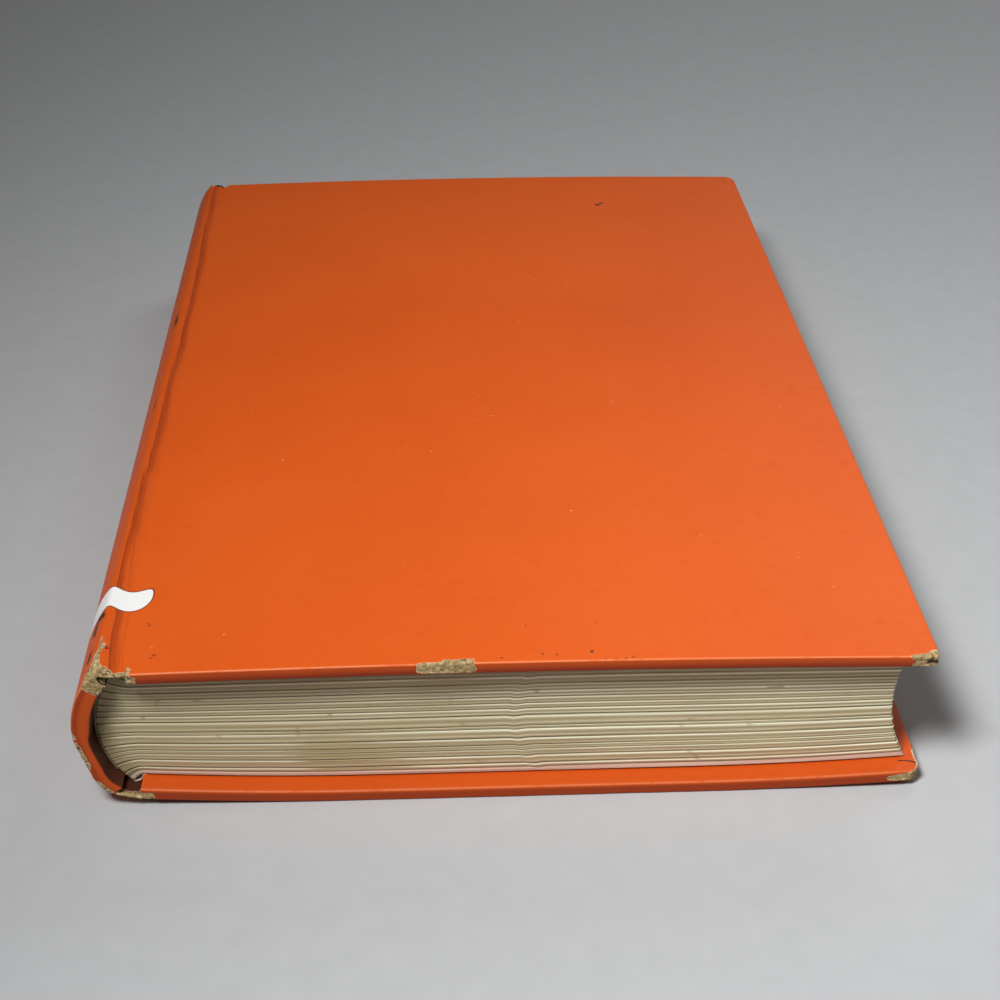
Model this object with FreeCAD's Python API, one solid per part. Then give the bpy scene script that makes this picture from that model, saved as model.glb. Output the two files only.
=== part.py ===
"""A case-bound hardback book, closed and lying on its back cover.

Axes: X across the width with the spine at -X, Y along the height with the tail edge at -Y, Z up.
The origin is the middle of the book's footprint. Profiles are drawn in the XZ plane with x = 0 at the
spine edge of the boards and y = 0 at their tail edge, and are moved to the origin when they are written.
"""
import os
from math import copysign, sqrt

import FreeCAD
import Part

Vector = FreeCAD.Vector

# Covers
board_width = 149.0
board_height = 235.0
corner_radius = 3.0
board_thickness = 2.1
cover_paper = 0.2
turn_in = 15.0

# Endpapers
pastedown_thickness = 0.15
pastedown_margin = 3.5
flyleaf_thickness = 0.15
closing_gap = 0.3

# Pages
block_thickness = 26.3
block_end_square = 4.2
fore_square_front = 4.4
fore_square_back = 2.6
fore_hollow = 2.6
page_corner_radius = 1.6
sections = 16
groove_width = 0.14
groove_depth = 0.5

# Rounded and backed spine of the pages
shoulder_reach = 2.0
shoulder_height = 1.9
spine_round = 5.4
glue_line = 0.05
gauze_thickness = 0.25
lining_thickness = 0.15
lining_margin = 3.0

# Case spine: a card between a ridge at the front joint and a foot at the back joint, with two creases
spine_card_thickness = 2.0
spine_hollow = 1.1
ridge_reach = 5.9
ridge_rise = 0.35
foot_reach = 5.6
foot_rise = 1.5
upper_crease_height = 13.0
lower_crease_height = 5.0
lower_crease_inset = 2.4
upper_panel_sag = 1.7
middle_panel_sag = 0.1
lower_panel_sag = 0.7

# Joints of the case
hinge_lining = 0.3
hinge_lining_reach = 3.2
hinge_clearance = 0.1
swing_clearance = 0.2

# Bow of the covers, measured at their edges from their flattest part
back_flat_start = 45.0
back_flat_end = 105.0
back_spine_lift = 1.8
back_fore_lift = 1.5
front_crest = 68.0
front_spine_drop = 0.7
front_fore_drop = 1.2

# Wear of the covering, which leaves the board bare
chip_start = 53.0
chip_length = 10.4
chip_depth = 1.6
chip_drop = 1.4
worn_corner = 4.0

cover_thickness = board_thickness + 2 * cover_paper
leaf_gap = pastedown_thickness + closing_gap + flyleaf_thickness
cover_stack = cover_thickness + leaf_gap
book_thickness = block_thickness + 2 * cover_stack


class Bow:
    """The line of a bowed cover's outer face: a flat run whose two ends curve away from it."""

    def __init__(self, level, flat_start, flat_end, spine_rise, fore_rise):
        self.level = level
        self.flat_start = flat_start
        self.flat_end = flat_end
        self.spine_rise = spine_rise
        self.fore_rise = fore_rise

    def height(self, x):
        """Height of the line at x."""
        if x < self.flat_start:
            return self.level + arc_rise(self.flat_start - x, self.flat_start, self.spine_rise)
        if x > self.flat_end:
            return self.level + arc_rise(x - self.flat_end, board_width - self.flat_end, self.fore_rise)
        return self.level

    def path(self, start, end):
        """The line from start to end, as arcs through three points and a straight run."""
        knots = [start] + [x for x in (self.flat_start, self.flat_end) if start < x < end] + [end]
        segments = []
        for left, right in zip(knots, knots[1:]):
            if right - left < 0.001:
                continue
            stations = [left, (left + right) / 2, right]
            if self.flat_start <= left and right <= self.flat_end:
                stations = [left, right]
            segments.append([(x, self.height(x)) for x in stations])
        return segments


def arc_rise(distance, run, rise):
    """How far an arc that leaves a flat line, and rises by rise over run, has risen at distance."""
    if rise == 0:
        return 0.0
    radius = (run**2 + rise**2) / (2 * rise)
    return radius - copysign(sqrt(radius**2 - distance**2), radius)


def edge(points):
    """A straight edge through two (x, z) points, or an arc through three."""
    vectors = [Vector(x, 0, z) for x, z in points]
    if len(vectors) == 2:
        return Part.LineSegment(*vectors).toShape()
    return Part.Arc(*vectors).toShape()


def shifted(path, dz):
    """The same path, dz higher."""
    return [[(x, z + dz) for x, z in segment] for segment in path]


def reversed_path(path):
    """The same path, walked the other way."""
    return [segment[::-1] for segment in path[::-1]]


def prism(path, start, end):
    """The solid over a closed path in the XZ plane, between two places along Y."""
    face = Part.Face(Part.Wire([edge(segment) for segment in path]))
    face.translate(Vector(0, start, 0))
    return face.extrude(Vector(0, end - start, 0))


def between(lower, upper, start, end):
    """The solid between two paths that run the same way."""
    near = [[upper[0][0], lower[0][0]]]
    far = [[lower[-1][-1], upper[-1][-1]]]
    return prism(lower + far + reversed_path(upper) + near, start, end)


def layer(path, height_a, height_b, start, end):
    """The sheet between two heights over a path."""
    return between(shifted(path, height_a), shifted(path, height_b), start, end)


def block(x0, x1, y0, y1, z0, z1):
    """A plain box between two corners."""
    return Part.makeBox(x1 - x0, y1 - y0, z1 - z0, Vector(x0, y0, z0))


def rounded_outline(inset):
    """A tall plate of a cover's outline, drawn in by inset, with its fore corners rounded."""
    plate = block(
        0, board_width - inset, inset, board_height - inset, -book_thickness, 2 * book_thickness
    )
    corners = [e for e in plate.Edges if is_upright(e) and e.CenterOfMass.x > board_width / 2]
    return plate.makeFillet(corner_radius - inset, corners)


def is_upright(e):
    """Whether a straight edge runs along Z."""
    a, b = e.firstVertex().Point, e.lastVertex().Point
    return abs(a.x - b.x) < 0.001 and abs(a.y - b.y) < 0.001


back_bow = Bow(0.0, back_flat_start, back_flat_end, back_spine_lift, back_fore_lift)
front_bow = Bow(book_thickness, front_crest, front_crest, -front_spine_drop, -front_fore_drop)

# Pages: where the sections' folds end, and the round between the two shoulders
tip_x = -shoulder_reach
block_bottom = cover_stack
block_top = -cover_stack
bottom_tip = (tip_x, back_bow.height(0) + block_bottom - shoulder_height)
top_tip = (tip_x, front_bow.height(0) + block_top + shoulder_height)
half_chord = (top_tip[1] - bottom_tip[1]) / 2
spine_radius = (half_chord**2 + spine_round**2) / (2 * spine_round)
spine_centre = (tip_x - spine_round + spine_radius, (top_tip[1] + bottom_tip[1]) / 2)

# Fore-edge: its two lips and the deepest point of its hollow
lip_bottom = board_width - fore_square_back
lip_top = board_width - fore_square_front
hollow_x = (lip_bottom + lip_top) / 2 - fore_hollow


def block_side(bow, offset, lip, rise):
    """One face of the page block, from the tip of its shoulder to the fore-edge."""
    line = shifted(bow.path(0, lip), offset)
    start = line[0][0]
    tip = (tip_x, start[1] + rise)
    bend = (tip_x / 2, start[1] + rise * 0.3)
    return [[tip, bend, start]] + line


bottom_face = block_side(back_bow, block_bottom, lip_bottom, -shoulder_height)
top_face = block_side(front_bow, block_top, lip_top, shoulder_height)


def spine_point(z, offset=0.0):
    """The point at height z on the round of the page block, or outside it by offset."""
    radius = spine_radius + offset
    return (spine_centre[0] - sqrt(radius**2 - (z - spine_centre[1]) ** 2), z)


def section_line(share):
    """Points along the joint between two sections, the share of the way up the page block."""
    end_z = bottom_tip[1] + share * (top_tip[1] - bottom_tip[1])
    start = spine_point(end_z)
    flat_z = blend_height(0, share)
    bend = (start[0] / 2, flat_z + (end_z - flat_z) * 0.3)
    stations = [0, board_width * 0.25, board_width * 0.5, board_width * 0.75, board_width]
    return [start, bend] + [(x, blend_height(x, share)) for x in stations]


def blend_height(x, share):
    """Height at x of the surface that lies the share of the way up the page block."""
    low = back_bow.height(x) + block_bottom
    high = front_bow.height(x) + block_top
    return low + (high - low) * share


def drawn_back(face):
    """A face of the page block that stops short of the fore-edge by the depth of the grooves."""
    line = [list(segment) for segment in face]
    (x0, z0), (x1, z1) = line[-1][0], line[-1][-1]
    x = x1 - groove_depth
    line[-1] = [(x0, z0), (x, z0 + (z1 - z0) * (x - x0) / (x1 - x0))]
    return line


def fore_edge(depth):
    """The hollow fore-edge, or a line behind it by depth."""
    low = drawn_back(bottom_face) if depth else bottom_face
    high = drawn_back(top_face) if depth else top_face
    start, end = low[-1][-1], high[-1][-1]
    return [[start, (hollow_x - depth, (start[1] + end[1]) / 2), end]]


def page_block():
    """The trimmed pages: a rounded back, two shoulders, a hollow fore-edge and the section joints."""
    tail, head = block_end_square, board_height - block_end_square
    back = [[top_tip, spine_point(spine_centre[1]), bottom_tip]]
    solid = prism(bottom_face + fore_edge(0) + reversed_path(top_face) + back, tail, head)
    corners = [e for e in solid.Edges if lies_on_fore_corner(e, tail, head)]
    solid = solid.makeFillet(page_corner_radius, corners)
    core = prism(
        drawn_back(bottom_face) + fore_edge(groove_depth) + reversed_path(drawn_back(top_face)) + back,
        tail + groove_depth,
        head - groove_depth,
    )
    slots = [section_slot(k / sections, tail, head) for k in range(1, sections)]
    return solid.cut([slot.cut(core) for slot in slots])


def lies_on_fore_corner(e, tail, head):
    """Whether an edge is one where the fore-edge meets the tail or head of the pages."""
    centre = e.CenterOfMass
    at_end = min(abs(centre.y - tail), abs(centre.y - head)) < 0.001
    return at_end and centre.x > hollow_x - 1 and e.BoundBox.ZLength > block_thickness / 2


def section_slot(share, tail, head):
    """A thin slot that follows the joint between two sections, as deep as the whole block."""
    points = section_line(share)
    curves = []
    for side in (-0.5, 0.5):
        curve = Part.BSplineCurve()
        curve.interpolate([Vector(x, 0, z + side * groove_width) for x, z in points])
        curves.append(curve.toShape())
    ends = [
        Part.LineSegment(curves[0].lastVertex().Point, curves[1].lastVertex().Point).toShape(),
        Part.LineSegment(curves[1].firstVertex().Point, curves[0].firstVertex().Point).toShape(),
    ]
    face = Part.Face(Part.Wire([curves[0], ends[0], curves[1], ends[1]]))
    face.translate(Vector(0, tail - 1, 0))
    return face.extrude(Vector(0, head - tail + 2, 0))


def spine_band(offset_a, offset_b):
    """A sheet glued round the back of the page block, short of both shoulders."""
    low, high = bottom_tip[1] + lining_margin, top_tip[1] - lining_margin
    inner = [[spine_point(z, offset_a) for z in (low, spine_centre[1], high)]]
    outer = [[spine_point(z, offset_b) for z in (low, spine_centre[1], high)]]
    return between(inner, outer, block_end_square, board_height - block_end_square)


def flyleaf(face, side):
    """The free endpaper on one face of the pages; side is -1 under them and 1 over them."""
    return layer(face, 0, side * flyleaf_thickness, block_end_square, board_height - block_end_square)


# Covers
def cover_board(bow, side):
    """One board, within its covering; side is 1 where the outer face looks down and -1 where up."""
    plate = layer(
        bow.path(0, board_width), side * cover_paper, side * (cover_paper + board_thickness), 0, board_height
    )
    return plate.common(rounded_outline(cover_paper))


def cover_sheet(bow, side, board):
    """The covering of one board, turned in over its tail, head and fore edges."""
    whole = layer(bow.path(0, board_width), 0, side * cover_thickness, 0, board_height)
    whole = whole.common(rounded_outline(0))
    recess = layer(
        bow.path(0, board_width - turn_in),
        side * (cover_paper + board_thickness),
        side * (cover_thickness + 1),
        turn_in,
        board_height - turn_in,
    )
    return whole.cut([board, recess])


def pastedown(bow, side, sheet):
    """The endpaper pasted inside a cover, over the board and the turned-in edges."""
    leaf = layer(
        bow.path(0, board_width - pastedown_margin),
        side * (cover_paper + board_thickness),
        side * (cover_thickness + pastedown_thickness),
        pastedown_margin,
        board_height - pastedown_margin,
    )
    return leaf.cut(sheet)


def worn(sheet):
    """The covering with its corner at the tail of the fore-edge rubbed through to the board."""
    low = -book_thickness
    corner = [
        Vector(board_width - worn_corner, 0, low),
        Vector(board_width, 0, low),
        Vector(board_width, worn_corner, low),
    ]
    outline = Part.makePolygon(corner + corner[:1])
    return sheet.cut(Part.Face(outline).extrude(Vector(0, 0, 3 * book_thickness)))


def chipped(sheet):
    """The front covering with the chip in its tail edge, which runs part of the way down the edge."""
    bottom = front_bow.height(chip_start) - chip_drop
    return sheet.cut(
        block(chip_start, chip_start + chip_length, 0, chip_depth, bottom, book_thickness)
    )


# Case spine
ridge = (-ridge_reach, front_bow.height(0) + ridge_rise)
foot = (-foot_reach, back_bow.height(0) + foot_rise)
case_thickness = spine_card_thickness + 2 * cover_paper
spine_dressing = glue_line + gauze_thickness + lining_thickness
outermost_x = tip_x - spine_round - spine_dressing - spine_hollow - case_thickness
upper_crease = (outermost_x, foot[1] + upper_crease_height)
lower_crease = (outermost_x + lower_crease_inset, foot[1] + lower_crease_height)


def bulged(start, end, sag):
    """An arc from start to end that stands out by sag, to the left of its direction."""
    dx, dz = end[0] - start[0], end[1] - start[1]
    length = sqrt(dx**2 + dz**2)
    middle = ((start[0] + end[0]) / 2 - sag * dz / length, (start[1] + end[1]) / 2 + sag * dx / length)
    return [start, middle, end]


spine_outline = [
    bulged(foot, lower_crease, lower_panel_sag),
    bulged(lower_crease, upper_crease, middle_panel_sag),
    bulged(upper_crease, ridge, upper_panel_sag),
]


def drawn_in(point, depth):
    """A point of the case spine moved in towards the centre of its round."""
    scale = 1 - depth / (spine_centre[0] - outermost_x)
    return tuple(c + (p - c) * scale for p, c in zip(point, spine_centre))


def spine_layer(depth_a, depth_b, start, end):
    """The part of the case spine between two depths under its outer face."""
    outer = [[drawn_in(p, depth_a) for p in segment] for segment in spine_outline]
    inner = [[drawn_in(p, depth_b) for p in segment] for segment in spine_outline]
    return between(outer, inner, start, end)


def spine_card():
    """The stiff strip of the case spine."""
    depth = cover_paper + spine_card_thickness
    return spine_layer(cover_paper, depth, cover_paper, board_height - cover_paper)


def spine_sheet(card):
    """The covering of the spine, turned in over the card at the tail and the head."""
    whole = spine_layer(0, case_thickness, 0, board_height)
    recess = spine_layer(
        cover_paper + spine_card_thickness, case_thickness + 1, turn_in, board_height - turn_in
    )
    return whole.cut([card, recess])


# Joints of the case
def joint_line(bow, knot, tip, side):
    """The covering's outer line across a joint: board edge, groove over the shoulder, case spine."""
    packing = flyleaf_thickness + hinge_clearance + hinge_lining + cover_paper
    return [[(0, bow.height(0)), (tip[0], tip[1] - side * packing), knot]]


def joint_sheet(line, side):
    """The covering in one joint, ending square on the sheets on both sides of it."""
    (start, groove, knot) = line[0]
    inner = [
        [
            (start[0], start[1] + side * cover_paper),
            (groove[0], groove[1] + side * cover_paper),
            drawn_in(knot, cover_paper),
        ]
    ]
    return between(line, inner, 0, board_height)


def hinge_strip(line, side, sheet):
    """The gauze and endpaper glued behind the covering in one joint."""
    (start, groove, knot) = line[0]
    strip = layer(line, side * cover_paper / 2, side * (cover_paper + hinge_lining), cover_paper,
                  board_height - cover_paper)
    reach = block(-hinge_lining_reach, 0, 0, board_height, -book_thickness, 2 * book_thickness)
    return strip.common(reach).cut(sheet)


def build():
    """Every piece of the book, by name."""
    pieces = {}
    front_board = cover_board(front_bow, -1)
    back_board = cover_board(back_bow, 1)
    front_sheet = cover_sheet(front_bow, -1, front_board)
    back_sheet = cover_sheet(back_bow, 1, back_board)
    card = spine_card()
    front_line = joint_line(front_bow, ridge, top_tip, -1)
    back_line = joint_line(back_bow, foot, bottom_tip, 1)

    pieces["page_block"] = page_block()
    pieces["front_flyleaf"] = flyleaf(top_face, 1)
    pieces["back_flyleaf"] = flyleaf(bottom_face, -1)
    pieces["spine_gauze"] = spine_band(glue_line, glue_line + gauze_thickness)
    pieces["spine_lining"] = spine_band(glue_line + gauze_thickness, spine_dressing)
    pieces["front_board"] = front_board
    pieces["back_board"] = back_board
    pieces["front_pastedown"] = pastedown(front_bow, -1, front_sheet)
    pieces["back_pastedown"] = pastedown(back_bow, 1, back_sheet)
    pieces["front_cover_paper"] = chipped(worn(front_sheet))
    pieces["back_cover_paper"] = worn(back_sheet)
    pieces["spine_card"] = card
    pieces["spine_paper"] = spine_sheet(card)
    pieces["front_joint_paper"] = joint_sheet(front_line, -1)
    pieces["back_joint_paper"] = joint_sheet(back_line, 1)
    pieces["front_hinge_lining"] = hinge_strip(front_line, -1, pieces["front_joint_paper"])
    pieces["back_hinge_lining"] = hinge_strip(back_line, 1, pieces["back_joint_paper"])
    return pieces


def main():
    """Writes each piece to parts/, about the middle of the book's footprint, and prints the hinges."""
    os.makedirs("parts", exist_ok=True)
    middle = Vector((board_width + outermost_x) / 2, board_height / 2, 0)
    for name, shape in build().items():
        shape.translate(middle * -1)
        shape.exportStep(f"parts/{name}.step")
        box = shape.BoundBox
        print(name, len(shape.Solids), shape.isValid(), round(shape.Volume, 2),
              [round(v, 3) for v in (box.XMin, box.YMin, box.ZMin, box.XMax, box.YMax, box.ZMax)])
    front_axis = (front_bow.height(0) + ridge[1]) / 2 + swing_clearance
    back_axis = back_bow.height(0)
    print("front hinge", tip_x - middle.x, front_axis)
    print("back hinge", tip_x - middle.x, back_axis)


if __name__ == "__main__":
    main()
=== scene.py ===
"""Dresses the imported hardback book: its covering, pages, papers and wear, the stage and the camera.

Surfaces are worked out in the book's own millimetres, with x = 0 at the spine edge of the boards, y = 0 at
their tail edge and z = 0 on the table, and are put into the frame when their mesh is made.
"""

import bpy
import numpy as np
from mathutils import Matrix, Vector


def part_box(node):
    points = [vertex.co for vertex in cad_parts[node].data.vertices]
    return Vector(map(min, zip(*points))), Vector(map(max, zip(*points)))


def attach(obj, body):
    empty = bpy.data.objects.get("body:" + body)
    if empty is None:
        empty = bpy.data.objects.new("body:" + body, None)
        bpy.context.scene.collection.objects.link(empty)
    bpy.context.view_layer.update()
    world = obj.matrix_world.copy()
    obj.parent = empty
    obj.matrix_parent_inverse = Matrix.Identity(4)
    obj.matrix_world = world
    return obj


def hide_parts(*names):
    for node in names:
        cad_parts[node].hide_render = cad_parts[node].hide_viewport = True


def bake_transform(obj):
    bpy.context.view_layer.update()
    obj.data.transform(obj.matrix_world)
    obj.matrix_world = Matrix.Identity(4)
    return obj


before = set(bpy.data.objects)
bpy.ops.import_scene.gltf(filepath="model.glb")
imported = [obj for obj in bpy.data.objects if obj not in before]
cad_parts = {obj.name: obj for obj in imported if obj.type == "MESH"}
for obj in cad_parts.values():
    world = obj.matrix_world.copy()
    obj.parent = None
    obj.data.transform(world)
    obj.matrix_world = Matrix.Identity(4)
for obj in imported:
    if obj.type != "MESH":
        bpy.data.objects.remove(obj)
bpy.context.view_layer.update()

bl_info = {
    "name": "Hardback Book",
    "version": (1, 0, 0),
    "blender": (4, 5, 0),
    "location": "3D View > Sidebar > Book",
    "description": "Dresses a packed case-bound book with its covering, pages and papers",
    "category": "Object",
}

MM = 0.001
BACK_LOW, BACK_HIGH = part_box("back_cover_paper")
FRONT_LOW, FRONT_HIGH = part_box("front_cover_paper")
ORIGIN = np.array([BACK_LOW.x, BACK_LOW.y, 0.0]) / MM
BOARD_WIDTH = (BACK_HIGH.x - BACK_LOW.x) / MM
BOARD_HEIGHT = (BACK_HIGH.y - BACK_LOW.y) / MM
BOOK_THICKNESS = FRONT_HIGH.z / MM

# Bow of the covers and the shape of the back, as the CAD model has them
BACK_FLAT_START, BACK_FLAT_END = 45.0, 105.0
BACK_SPINE_LIFT, BACK_FORE_LIFT = 1.8, 1.5
FRONT_CREST = 68.0
FRONT_SPINE_DROP, FRONT_FORE_DROP = 0.7, 1.2
CORNER_RADIUS = 3.0
LEAF_GAP = 0.6
BLOCK_SQUARE = 4.2
SHOULDER_REACH, SHOULDER_HEIGHT = 2.0, 1.9
SPINE_ROUND = 5.4
LIP_BOTTOM, LIP_TOP, FORE_HOLLOW = 146.4, 144.6, 2.6
PAGE_CORNER = 0.5
RIDGE, UPPER_CREASE, LOWER_CREASE, FOOT = (-5.9, 32.15), (-11.35, 16.3), (-8.95, 8.3), (-5.6, 3.3)
PANEL_SAGS = (0.7, 0.1, 1.7)
CASE_THICKNESS = 2.4
CASE_THICK, CASE_THIN = 3.6, 2.85
HINGE_X = -2.0


# Numbers on grids


def eased(value, start, end):
    """0 before start, 1 after end, and the smooth cubic 3t^2 - 2t^3 between them."""
    t = np.clip((value - start) / (end - start), 0.0, 1.0)
    return t * t * (3.0 - 2.0 * t)


def stations(*runs):
    """Places along a line: each run is (start, end, how many steps), and the runs join end to end."""
    lines = [np.linspace(start, end, steps + 1) for start, end, steps in runs]
    return np.concatenate([lines[0]] + [line[1:] for line in lines[1:]])


def noise(x, y, z, spacing, seed):
    """Value noise from -1 to 1: random numbers on a lattice of that spacing, eased from corner to corner."""
    table = np.random.default_rng(seed).uniform(-1.0, 1.0, 4096)
    points = np.stack(np.broadcast_arrays(x, y, z)).astype(float) / spacing
    low = np.floor(points)
    t = points - low
    t = t * t * (3.0 - 2.0 * t)
    low = low.astype(np.int64)
    total = 0.0
    for corner in range(8):
        step = [(corner >> axis) & 1 for axis in range(3)]
        mix = 1.0
        for axis in range(3):
            mix = mix * (t[axis] if step[axis] else 1.0 - t[axis])
        cell = (low[0] + step[0]) * 73856093 ^ (low[1] + step[1]) * 19349663 ^ (low[2] + step[2]) * 83492791
        total = total + mix * table[cell & 4095]
    return total


def rough(x, y, z, spacing, seed, octaves=3):
    """Several layers of value noise, each half as large and half as strong as the one before."""
    total = 0.0
    for layer in range(octaves):
        total = total + noise(x, y, z, spacing / 2**layer, seed + layer) / 2**layer
    return total


def arc_rise(distance, run, rise):
    """How far an arc that leaves a flat line, and rises by rise over run, has risen at distance."""
    radius = (run**2 + rise**2) / (2.0 * rise)
    return radius - np.sqrt(radius**2 - np.clip(distance, 0.0, None) ** 2)


def back_height(x):
    """Height of the back cover's outer face: flat, with an arc up to each side."""
    return arc_rise(BACK_FLAT_START - x, BACK_FLAT_START, BACK_SPINE_LIFT) + arc_rise(
        x - BACK_FLAT_END, BOARD_WIDTH - BACK_FLAT_END, BACK_FORE_LIFT
    )


def front_height(x):
    """Height of the front cover's outer face: a crest, with an arc down to each side."""
    return BOOK_THICKNESS - arc_rise(FRONT_CREST - x, FRONT_CREST, FRONT_SPINE_DROP) - arc_rise(
        x - FRONT_CREST, BOARD_WIDTH - FRONT_CREST, FRONT_FORE_DROP
    )


def arc_through(start, middle, end, steps):
    """Points along the circle through three points: the centre is where their bisectors meet, and the
    angle runs evenly from start to end."""
    a, b, c = (np.array(p, float) for p in (start, middle, end))
    rows = 2.0 * np.array([b - a, c - a])
    centre = np.linalg.solve(rows, [b @ b - a @ a, c @ c - a @ a])
    angles = np.unwrap([np.arctan2(*(p - centre)[::-1]) for p in (a, b, c)])
    turn = np.linspace(angles[0], angles[2], steps + 1)
    return centre + np.linalg.norm(a - centre) * np.stack([np.cos(turn), np.sin(turn)], axis=1)


def bulged(start, end, sag, steps):
    """Points along an arc from start to end that stands out by sag, to the left of its direction."""
    a, b = np.array(start, float), np.array(end, float)
    across = np.array([-(b - a)[1], (b - a)[0]]) / np.linalg.norm(b - a)
    return arc_through(a, (a + b) / 2.0 + sag * across, b, steps)


def chained(*runs):
    """Runs of points that share their ends, as one line."""
    return np.concatenate([runs[0]] + [run[1:] for run in runs[1:]])


def along(line):
    """Distance from the start of a line to each of its points."""
    return np.concatenate([[0.0], np.cumsum(np.linalg.norm(np.diff(line, axis=0), axis=1))])


def resampled(line, distances):
    """The points of a line at those distances from its start."""
    walked = along(line)
    return np.stack([np.interp(distances, walked, line[:, i]) for i in range(line.shape[1])], axis=1)


# Meshes


class Patches:
    """Grids of points with their values, gathered into one mesh whose shared edges are welded."""

    def __init__(self):
        self.points = []
        self.faces = []
        self.values = {}
        self.count = 0

    def grid(self, points, flip=False, **values):
        """Adds a grid of points (rows, columns, 3), in the book's millimetres, with a value at each point."""
        rows, columns = points.shape[:2]
        index = np.arange(rows * columns).reshape(rows, columns) + self.count
        quads = np.stack([index[:-1, :-1], index[1:, :-1], index[1:, 1:], index[:-1, 1:]], axis=-1)
        if flip:
            quads = quads[..., ::-1]
        self.faces.append(quads.reshape(-1, 4))
        self.points.append(points.reshape(-1, 3))
        for name, value in values.items():
            spread = np.broadcast_to(value, (rows, columns)).reshape(-1)
            self.values.setdefault(name, []).append((self.count, spread))
        self.count += rows * columns
        return self

    def mesh(self, name, weld=0.0005):
        """The welded mesh: points that round to the same place become one, and flat faces are dropped."""
        points = np.concatenate(self.points)
        keys = np.round(points / weld).astype(np.int64)
        _, first, index = np.unique(keys, axis=0, return_index=True, return_inverse=True)
        faces = index.reshape(-1)[np.concatenate(self.faces)]
        same = faces == np.roll(faces, -1, axis=1)
        whole = faces[~same.any(axis=1)]
        thin = faces[same.sum(axis=1) == 1]
        thin_same = thin == np.roll(thin, -1, axis=1)
        threes = thin[~thin_same].reshape(-1, 3)
        mesh = bpy.data.meshes.new(name)
        mesh.vertices.add(len(first))
        mesh.vertices.foreach_set("co", ((points[first] + ORIGIN) * MM).astype(np.float32).ravel())
        corners = np.concatenate([whole.ravel(), threes.ravel()])
        mesh.loops.add(len(corners))
        mesh.loops.foreach_set("vertex_index", corners.astype(np.int32))
        starts = np.concatenate(
            [np.arange(len(whole)) * 4, len(whole) * 4 + np.arange(len(threes)) * 3]
        )
        mesh.polygons.add(len(starts))
        mesh.polygons.foreach_set("loop_start", starts.astype(np.int32))
        mesh.update(calc_edges=True)
        mesh.polygons.foreach_set("use_smooth", np.ones(len(starts), bool))
        for value_name, parts in self.values.items():
            full = np.zeros(self.count)
            for start, part in parts:
                full[start : start + len(part)] = part
            layer = mesh.attributes.new(value_name, "FLOAT", "POINT")
            layer.data.foreach_set("value", full[first].astype(np.float32))
        mesh.validate()
        return mesh


def place(mesh, material):
    """The object of a finished mesh, at the origin, with its material."""
    old = bpy.data.objects.get(mesh.name)
    if old is not None:
        raise RuntimeError(f"{mesh.name} is already in the scene")
    piece = bpy.data.objects.new(mesh.name, mesh)
    bpy.context.scene.collection.objects.link(piece)
    mesh.materials.append(material)
    return piece


# Shader maths


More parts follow.
